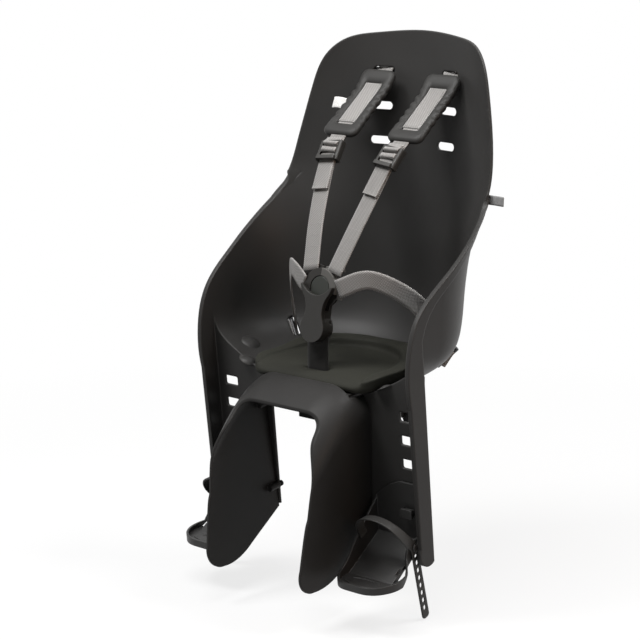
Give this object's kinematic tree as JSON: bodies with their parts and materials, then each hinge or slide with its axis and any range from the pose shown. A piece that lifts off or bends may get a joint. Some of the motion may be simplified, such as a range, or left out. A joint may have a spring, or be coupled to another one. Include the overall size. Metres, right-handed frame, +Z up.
{
  "type": "child bicycle seat",
  "caption": "Rear child bicycle seat: moulded bucket shell with leg channels, foam cushion, harness with round buckle, sliding footrests with straps and a clamp for the carrier rails.",
  "frame": {"origin": "middle of the flat underside of the carrier base, level with the top of the carrier's rails", "axes": "+X to the viewer's right when facing the seat (the child's left), -Y to the front, where the child faces, +Z up"},
  "size_m": [0.4281, 0.4054, 0.845],
  "materials": {
    "shell_plastic": "fine moulded grain, charcoal black",
    "guard_plastic": "fine moulded grain, charcoal black",
    "pad_foam": "dull closed-cell foam, dark olive",
    "webbing": "woven webbing, mid grey",
    "crotch_webbing": "woven webbing, dark grey",
    "pad_fabric": "knitted fabric over foam, dark grey",
    "fitting_plastic": "satin, dark grey",
    "tongue_plastic": "satin, mid grey",
    "buckle_plastic": "satin, dark grey",
    "button_plastic": "satin, dark green-grey",
    "foot_plastic": "fine moulded grain, charcoal black",
    "strap_rubber": "matte, dark grey",
    "base_plastic": "matte, black",
    "steel": "zinc plated",
    "tag_cloth": "plain white woven tape",
    "rim_tag_cloth": "plain grey woven tape"
  },
  "bodies": {
    "seat": {"seat_shell": "shell_plastic", "leg_guard": "guard_plastic", "seat_pad": "pad_foam", "shoulder_strap_right": "webbing", "shoulder_strap_left": "webbing", "strap_tail_right": "webbing", "strap_tail_left": "webbing", "lap_strap_right": "webbing", "lap_strap_left": "webbing", "crotch_strap": "crotch_webbing", "shoulder_pad_right": "pad_fabric", "shoulder_pad_left": "pad_fabric", "strap_adjuster_right": "fitting_plastic", "strap_adjuster_left": "fitting_plastic", "strap_tongue_left": "fitting_plastic", "strap_tongue_right": "tongue_plastic", "buckle_body": "buckle_plastic", "carrier_base": "base_plastic", "base_screws": "steel", "guard_screws": "steel", "shoulder_bar_right": "steel", "shoulder_bar_left": "steel", "lap_bar_right": "steel", "lap_bar_left": "steel", "crotch_bar": "steel", "pad_tag": "tag_cloth", "rim_tag": "rim_tag_cloth"},
    "footrest_right": {"footrest_right": "foot_plastic", "strap_stud_right": "foot_plastic", "foot_strap_right": "strap_rubber"},
    "footrest_left": {"footrest_left": "foot_plastic", "strap_stud_left": "foot_plastic", "foot_strap_left": "strap_rubber"},
    "catch_right": {"footrest_catch_right": "foot_plastic"},
    "jaw_right": {"clamp_jaw_right": "base_plastic"},
    "catch_left": {"footrest_catch_left": "foot_plastic"},
    "jaw_left": {"clamp_jaw_left": "base_plastic"},
    "clamp_screw": {"clamp_spindle": "steel", "clamp_knob": "base_plastic"},
    "button": {"buckle_button": "button_plastic"}
  },
  "joints": [
    {"name": "footrest_height_right", "type": "slide", "parent": "seat", "child": "footrest_right", "axis": [0, -0.1045, 0.9945], "range_m": [0, 0.1095]},
    {"name": "catch_push_right", "type": "slide", "parent": "footrest_right", "child": "catch_right", "axis": [0, 0.9945, 0.1045], "range_m": [0, 0.006]},
    {"name": "footrest_height_left", "type": "slide", "parent": "seat", "child": "footrest_left", "axis": [0, -0.1045, 0.9945], "range_m": [0, 0.1095]},
    {"name": "catch_push_left", "type": "slide", "parent": "footrest_left", "child": "catch_left", "axis": [0, 0.9945, 0.1045], "range_m": [0, 0.006]},
    {"name": "clamp_turn", "type": "hinge", "parent": "seat", "child": "clamp_screw", "pos_m": [0, 0.025, 0.02], "axis": [1, 0, 0], "continuous": true},
    {"name": "jaw_open_right", "type": "slide", "parent": "seat", "child": "jaw_right", "axis": [1, 0, 0], "range_m": [0, 0.012]},
    {"name": "jaw_open_left", "type": "slide", "parent": "seat", "child": "jaw_left", "axis": [-1, 0, 0], "range_m": [0, 0.012]},
    {"name": "button_press", "type": "slide", "parent": "seat", "child": "button", "axis": [0, 0.9848, -0.174], "range_m": [0, 0.003], "stiffness_N_per_m": 600}
  ],
  "couplings": [
    {"joint": "jaw_open_left", "follows": "jaw_open_right", "ratio": 1}
  ]
}
